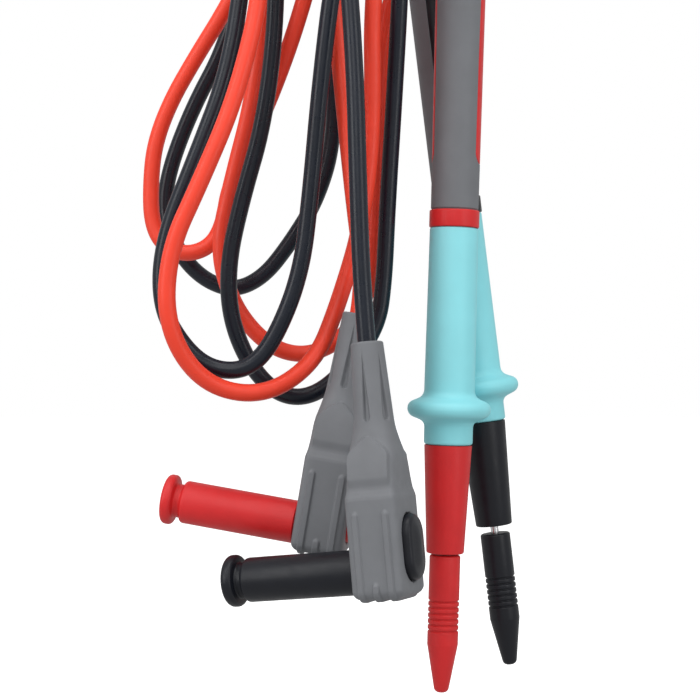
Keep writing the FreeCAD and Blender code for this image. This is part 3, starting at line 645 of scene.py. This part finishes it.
def body_size(height):
    """Half width, half depth and exponent at a height, eased above the step to blunt the levels' corners."""
    if height < STEP[1]:
        return along_levels(BODY_LEVELS, height)
    heights = [min(height + EASING * shift, PLUG_LENGTH) for shift in (-2, -1, 0, 1, 2)]
    near = [along_levels(BODY_LEVELS, level) for level in heights]
    return [sum(values) / len(near) for values in zip(*near)]


def section_point(angle, half_width, half_depth, exponent):
    """A point of a superellipse, out from the middle at an angle."""
    across, deep = math.cos(angle), math.sin(angle)
    reach = (abs(across / half_width) ** exponent + abs(deep / half_depth) ** exponent) ** (-1 / exponent)
    return reach * across, reach * deep


def arch_half(height):
    """Half the arch's width at a height: upright sides, then two curves that meet in a point."""
    if height < ARCH_SHOULDER:
        return ARCH_HALF
    return ARCH_HALF * (1 - min(1.0, (height - ARCH_SHOULDER) / (ARCH_TOP - ARCH_SHOULDER)) ** ARCH_CURVE)


def rib_rise(x, height):
    """How far the ribs stand up at a place on the front or back face, or underneath."""
    rise = 0.0
    for centre, top in RIBS:
        beyond = max(0.0, height - (top - RIB_HALF))
        away = math.hypot(x - centre, beyond) / RIB_HALF
        rise = max(rise, RIB_RISE * smooth(away, 1.0, RIB_FLAT))
    return rise


def flute_depth(x, y, height):
    """How deep the flutes are sunk at a place on the bend relief: six, pointed above and round below."""
    if not FLUTE_LOW - FLUTE_HALF < height < FLUTE_TOP:
        return 0.0
    pitch = 2 * math.pi / FLUTES
    turn = (math.atan2(y, x) - math.pi / 2 + pitch / 2) % pitch - pitch / 2
    side = abs(turn) * math.hypot(x, y)
    half = FLUTE_HALF * (FLUTE_TOP - height) / (FLUTE_TOP - FLUTE_LOW)
    if height < FLUTE_LOW:
        half = math.sqrt(max(0.0, FLUTE_HALF ** 2 - (FLUTE_LOW - height) ** 2))
    # The floor's edge stays clear of the flute's own, even where the flute narrows to nothing.
    floor_edge = half * FLUTE_FLOOR - 0.01
    return FLUTE_DEPTH * min(1.0, half / FLUTE_HALF * FLUTE_FILL) * smooth(side, half, floor_edge)


def body_point(angle, height, inset):
    """A point of the overmould's outside, with its arches, ribs, flutes, seat and shroud hole."""
    half_width, half_depth, exponent = body_size(height)
    x, y = section_point(angle, half_width - inset, half_depth - inset, exponent)
    front = smooth(abs(y), *FACE)
    arch = smooth(abs(x), arch_half(height) + ARCH_SIDE[0], arch_half(height) + ARCH_SIDE[1])
    arch *= smooth(height, ARCH_LOW, ARCH_LOW + ARCH_BLEND) * smooth(height, ARCH_TOP, ARCH_TOP - ARCH_TIP)
    proud = max(abs(y), half_depth + ARCH_RISE) - abs(y)
    y += math.copysign(proud * arch * front, y)
    tilt = math.asin(min(1.0, inset / BOTTOM_ROUND)) if height < BOTTOM_ROUND else 0.0
    rise = rib_rise(x, height)
    y += math.copysign(rise * math.cos(tilt) * front, y)
    height -= rise * math.sin(tilt)
    depth = flute_depth(x, y, height)
    reach = math.hypot(x, y)
    x, y = x * (1 - depth / reach), y * (1 - depth / reach)
    if x > SIDE:
        outside = outside_slot(y, height, BUTTON["half_width"], BUTTON["low"], BUTTON["high"])
        x += (BUTTON_SEAT - x) * smooth(outside, SEAT_EDGE, 0.0)
    if x < -SIDE:
        outside = math.hypot(y, height - SHROUD_HEIGHT) - CORE_RADIUS
        x += (-SIDE - x) * smooth(outside, CORE_EDGE, 0.0)
    return x, y, height


def body_heights():
    """The heights of the overmould's rings between its rounded ends, closest together on the step."""
    margin = 0.2
    heights = even_steps(BOTTOM_ROUND + 0.25, STEP[0] - margin, 0.3) + even_steps(*STEP, 0.15)
    return heights + even_steps(STEP[1] + margin, PLUG_LENGTH - TOP_ROUND, 0.25)


def make_plug_body(colour, place):
    """The soft overmould of the plug, skinned from its rounded bottom to the cable's mouth."""
    angles = [2 * math.pi * step / AROUND for step in range(AROUND)]
    rings = [[(0, 0, -rib_rise(0, 0))]]
    for share in UNDER_SHARES:
        rings.append([under_point(angle, share) for angle in angles])
    bottom_steps, top_steps = 12, 5
    for step in range(bottom_steps + 1):
        turn = math.pi / 2 * step / bottom_steps
        inset = BOTTOM_ROUND * (1 - math.sin(turn))
        height = BOTTOM_ROUND * (1 - math.cos(turn))
        rings.append([body_point(angle, height, inset) for angle in angles])
    for height in body_heights():
        rings.append([body_point(angle, height, 0.0) for angle in angles])
    for step in range(1, top_steps + 1):
        turn = math.pi / 2 * step / top_steps
        inset = TOP_ROUND * (1 - math.cos(turn))
        height = PLUG_LENGTH - TOP_ROUND * (1 - math.sin(turn))
        rings.append([body_point(angle, height, inset) for angle in angles])
    floor, chamfer = PLUG_LENGTH - MOUTH_DEPTH, 0.15
    for radius, height in ((MOUTH + chamfer, PLUG_LENGTH), (MOUTH, PLUG_LENGTH - chamfer), (MOUTH, floor)):
        rings.append(turned_ring(radius, height, AROUND))
    rings.append([(0, 0, floor)])
    mesh = skin(f"{colour}_overmould", rings, place)
    finish_piece(f"{colour}_overmould", mesh, f"{colour}_plug_body", 50.0)


def under_point(angle, share):
    """A point underneath the overmould, a share of the way out to where its edge starts to round."""
    half_width, half_depth, exponent = body_size(0.0)
    x, y = section_point(angle, half_width - BOTTOM_ROUND, half_depth - BOTTOM_ROUND, exponent)
    return x * share, y * share, -rib_rise(x * share, 0.0)


def make_rear_cap(colour, place):
    """The domed oval cap that closes the back of the plug."""
    gap, rim, dome = 0.06, 7.6, 0.75
    # Each ring: how far in from the cap's outline, and how far out from the plug's middle.
    levels = [(0.0, BUTTON_SEAT + 0.05), (0.0, 6.6), (0.08, 6.95), (0.24, 7.25), (0.5, 7.52)]
    for inset in (0.8, 1.3, 1.9, 2.6, 3.3, 4.0, 4.6):
        levels.append((inset, rim + dome * smooth(inset, 0.0, BUTTON["half_width"])))
    rings = []
    for inset, out in levels:
        ring = slot_ring(inset, BUTTON["half_width"] - gap, BUTTON["low"] + gap, BUTTON["high"] - gap)
        rings.append([(out, across, height) for across, height in ring])
    rings = [[middle_of(rings[0])], *rings, [middle_of(rings[-1])]]
    finish_piece(f"{colour}_rear_dome", skin(f"{colour}_rear_dome", rings, place), f"{colour}_rear_cap")


def make_plug_core(colour, place):
    """The rigid core's face and the shroud around the pin."""
    core, shroud, bore = 4.57, 4.05, 3.1
    root, face = 5.05, 6.1
    corners = [(0, root), (core, root), (core, face, 0.25), (shroud, face + HAIRLINE, 0.1)]
    corners += [(shroud, SHROUD_END, 0.4), (bore, SHROUD_END, 0.3), (bore, SOCKET_FLOOR), (0, SOCKET_FLOOR)]
    lathe(f"{colour}_shroud", corners, place, f"{colour}_plug_core")


# Along the shroud: the socket's floor, and where the pin's waist and its contact spring start and end.
SOCKET_FLOOR = 8.0
SPRING = (11.0, 25.0)
PIN_RADIUS = 2.0


def make_pin(colour, place):
    """The plug's pin: a turned shaft with a waist for its spring and a rounded end."""
    tip, waist = SHROUD_END - 1.5, 1.7
    corners = [(0, SOCKET_FLOOR), (PIN_RADIUS, SOCKET_FLOOR), (PIN_RADIUS, SPRING[0]), (waist, SPRING[0])]
    corners += [(waist, SPRING[1]), (PIN_RADIUS, SPRING[1]), (PIN_RADIUS, tip, 0.8), (0, tip)]
    lathe(f"{colour}_pin", corners, place, f"{colour}_plug_pin", segments=64)


def make_spring(colour, place):
    """The contact spring: a thin barrel around the pin's waist, slit lengthways into bowed slats."""
    low, high = SPRING
    inside, bow, slit_depth, slit_width = 1.72, 0.15, 0.25, 3
    count, slats, spacing = 96, 8, 0.5
    # The slits deepen between these shares of the way in from each end.
    slit_start, slit_full = 0.08, 0.12
    rings = [turned_ring(inside, low, count)]
    for height in even_steps(low, high, spacing):
        share = (height - low) / (high - low)
        radius = PIN_RADIUS + bow * math.sin(math.pi * share)
        slit = slit_depth * smooth(min(share, 1 - share), slit_start, slit_full)
        ring = []
        for step, (x, y, _) in enumerate(turned_ring(1.0, height, count)):
            here = radius - (slit if step % (count // slats) < slit_width else 0)
            ring.append((x * here, y * here, height))
        rings.append(ring)
    rings.append(turned_ring(inside, high, count))
    finish_piece(f"{colour}_slats", skin(f"{colour}_slats", rings, place), f"{colour}_pin_spring")


def make_cover(colour, place):
    """The pull-off cover: a plain barrel, a short neck and a rounded flange to pull it by."""
    bore, wall, neck, flange = 4.1, 4.95, 3.9, 5.8
    bore_end, step, neck_end, end = 32.9, 33.3, 35.1, 37.7
    corners = [(0, bore_end), (bore, bore_end), (bore, COVER_START, 0.15), (wall, COVER_START, 0.3)]
    corners += [(wall, step, 0.9), (neck, step + 0.1, 0.25), (neck, neck_end - 0.1, 0.4)]
    corners += [(flange, neck_end, 0.95), (flange, end, 1.1), (0, end)]
    lathe(f"{colour}_cover", corners, place, f"{colour}_plug_cover")


for colour in COLOURS:
    probe = probe_place(colour)
    for make in (make_tip_cap, make_needle, make_barrel, make_guard, make_grip, make_stripes, make_boot):
        make(colour, probe)
    plug = plug_place(colour)
    for make in (make_plug_body, make_rear_cap):
        make(colour, plug)
    shroud = shroud_place(colour)
    for make in (make_plug_core, make_pin, make_spring, make_cover):
        make(colour, shroud)


# ---------------------------------------------------------------- cables

# The height of the middle of a cable's turn over the peg, and the turn's radius.
PEG_TURN = (-8.0, 15.0)


def bend(across, up, radius, first, last, depth_in, depth_out):
    """Five points around a round bend seen from the front, from one angle to another, moving in depth."""
    step = (last - first) / 4
    reach = radius / math.cos(math.radians(step / 2))
    points = []
    for index in range(5):
        angle = math.radians(first + step * index)
        depth = depth_in + (depth_out - depth_in) * index / 4
        points.append((across + reach * math.cos(angle), depth, up + reach * math.sin(angle)))
    return points


def over_peg(across, depth):
    """A turn over the peg, from its left to its right."""
    up, radius = PEG_TURN
    return bend(across, up, radius, 182, -2, depth, depth)


ROUTES = {
    "red": [
        (7.3, -9, -130.4), (5, -9.2, -114), (1.8, -8, -82), (-1, -5.5, -51), (-9, -3, -27),
        *over_peg(3, -2), (14.4, -0.2, -30), (9, 0, -62), (9.5, 1, -94), (7, 1, -117), (1.2, -2, -136.5),
        (-4.2, -7, -150.2), (-15.9, -12, -157.8), (-29.2, -17, -154.8), (-36.9, -22, -142),
        (-36.2, -22, -125), (-29, -22, -109.5), (-21, -20.5, -90), (-15.2, -17, -64), (-16, -14, -32),
        *over_peg(4, -12), (24, -7.5, -28), (18.5, 4.5, -47), (11.2, 11, -72), (10.6, 13, -98),
        (9.8, 13, -120), (8.6, 13, -133), (3.2, 13, -143.5), (-4.5, 13, -148), (-12, 12.7, -147.8),
        (-19, 12, -143.2), (-25, 11, -134.5), (-28, 10, -122), (-24.5, 10, -106), (-19.5, 10, -87),
        (-16, 9, -62), (-16.5, 8, -34), *over_peg(-1, 8), (9, 9, -28), (-3.5, 12, -49), (-9, 14.5, -68),
        (-15, 16.5, -84), (-21, 18, -97), (-26, 19.5, -107), *bend(-36.3, -114.4, 8.5, -10, -175, 20, 22),
        (-45.5, 21.5, -106), (-44.5, 21, -96), (-40.5, 20.5, -85.5), (-34, 19.5, -74.5), (-26.5, 18, -63),
        (-19.5, 15.5, -50), (-16.5, 14, -30), (-15, 14, -8), (-6, 13, 7), (9, 12, 12), (24, 10, 7),
        (32.3, 8, -7),
    ],
    "black": [
        (6.6, -26.3, -133), (5.8, -25.6, -112), (5, -23.8, -82), (2.5, -21, -51), (-6.5, -18.5, -27),
        *over_peg(3, -17), (14, -16, -30), (1, -14.5, -57), (-2.5, -13, -84), (-5, -12, -112),
        (-7.2, -12, -130), (-13.5, -12, -145.5), (-19.5, -12, -151.7), (-27.5, -12, -151.5),
        (-33.8, -12, -146.5), (-39.3, -12, -137), (-38.6, -12, -122), (-31, -12, -103), (-23.5, -11, -83),
        (-20, -9, -57), (-18, -8, -32), *over_peg(1, -7), (16.6, -5, -32), (16, 2, -60), (14.5, 6, -88),
        (13, 7, -112), (12.2, 7, -130.5), (10.6, 6.5, -141.5), (3.5, 5.5, -151.3), (-4.4, 4.6, -158),
        (-12.2, 3.3, -158.2), (-19.3, 2, -151.5), (-24.2, 1, -140), (-24.8, 0, -127), (-21.5, 0, -112),
        (-16, 0, -93), (-13, 0, -66), (-14, 1.5, -33), *over_peg(0, 3), (13, 7, -30), (4, 14, -50),
        (0, 22, -73), (0, 27, -95), (-4.5, 28.5, -109.5), (-11.5, 29.5, -120.5), (-18, 30, -128.6),
        (-25.5, 30, -132), (-33, 30, -129.2), (-39, 30, -123), (-43, 30, -114), (-42.5, 30, -103),
        (-36, 29, -86), (-27, 27, -70), (-22, 23, -50), (-18, 20.5, -28), (-16, 20, -9), (-10, 22, 4),
        (0.5, 24, 10.3), (12, 24, 6), (18.7, 24, -6),
    ],
}


def cable_curve(colour):
    """The free cable: one smooth spline with the route's points as its control points."""
    start = plug_place(colour) @ Vector((0, 0, PLUG_LENGTH * MM))
    end = probe_place(colour) @ Vector((0, 0, BOOT_TOP * MM))
    points = [start] + [Vector(point) * MM for point in ROUTES[colour]] + [end]
    data = bpy.data.curves.new(f"{colour}_cable_run", "CURVE")
    data.dimensions = "3D"
    data.bevel_depth = CABLE_DIAMETER / 2 * MM
    data.bevel_resolution = 8
    data.resolution_u = 10
    data.use_fill_caps = True
    spline = data.splines.new("NURBS")
    spline.points.add(len(points) - 1)
    for knot, point in zip(spline.points, points):
        knot.co = (*point, 1)
    spline.order_u = 3
    spline.use_endpoint_u = True
    data.materials.append(MATERIALS[f"{colour}_cable"])
    cable = bpy.data.objects.new(f"{colour}_cable_run", data)
    bpy.context.collection.objects.link(cable)
    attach(cable, "root")
    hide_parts(f"{colour}_cable")


for colour in COLOURS:
    cable_curve(colour)
